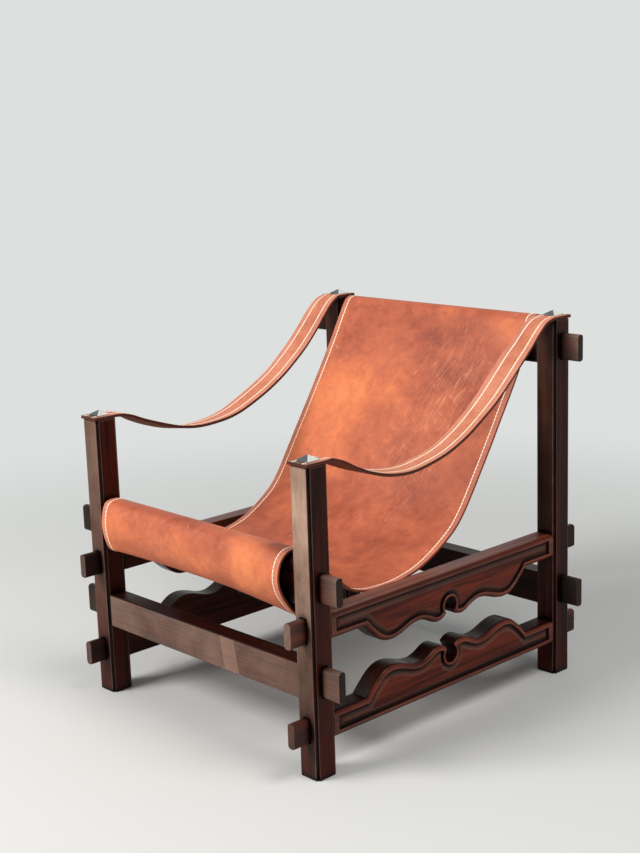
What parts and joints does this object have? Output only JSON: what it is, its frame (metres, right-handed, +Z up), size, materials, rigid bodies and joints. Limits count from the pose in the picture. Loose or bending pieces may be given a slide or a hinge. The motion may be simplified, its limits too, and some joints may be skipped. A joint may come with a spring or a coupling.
{
  "type": "sling lounge chair",
  "caption": "Low lounge chair: dark wood frame with through tenons and carved scalloped side rails, a hanging leather seat sling and leather strap arms under pyramid studs.",
  "frame": {"origin": "on the floor, under the centre of the frame", "axes": "+Z up; the sitter faces -Y; +X is the sitter's left"},
  "size_m": [0.765, 0.825, 0.7769],
  "materials": {
    "dark_wood": "dark stained hardwood, waxed, worn at the edges",
    "cognac_leather": "saddle leather, waxed, with scratches and patina",
    "stud_metal": "aged pale metal, hand finished",
    "tack_metal": "darkened"
  },
  "bodies": {
    "root": {"post_front_left": "dark_wood", "post_front_right": "dark_wood", "post_back_left": "dark_wood", "post_back_right": "dark_wood", "side_rail_upper_left": "dark_wood", "side_rail_upper_right": "dark_wood", "side_rail_lower_left": "dark_wood", "side_rail_lower_right": "dark_wood", "front_stretcher": "dark_wood", "back_stretcher": "dark_wood", "front_sling_bar": "dark_wood", "back_sling_bar": "dark_wood", "sling": "cognac_leather", "arm_strap_left": "cognac_leather", "arm_strap_right": "cognac_leather", "arm_strap_lining_left": "cognac_leather", "arm_strap_lining_right": "cognac_leather", "post_stud_front_left": "stud_metal", "post_stud_front_right": "stud_metal", "post_stud_back_left": "stud_metal", "post_stud_back_right": "stud_metal", "front_sling_tack_1": "tack_metal", "front_sling_tack_2": "tack_metal", "front_sling_tack_3": "tack_metal", "front_sling_tack_4": "tack_metal", "front_sling_tack_5": "tack_metal", "front_sling_tack_6": "tack_metal", "front_sling_tack_7": "tack_metal", "front_sling_tack_8": "tack_metal", "front_sling_tack_9": "tack_metal", "back_sling_tack_1": "tack_metal", "back_sling_tack_2": "tack_metal", "back_sling_tack_3": "tack_metal", "back_sling_tack_4": "tack_metal", "back_sling_tack_5": "tack_metal", "back_sling_tack_6": "tack_metal", "back_sling_tack_7": "tack_metal", "back_sling_tack_8": "tack_metal", "back_sling_tack_9": "tack_metal"}
  },
  "joints": []
}
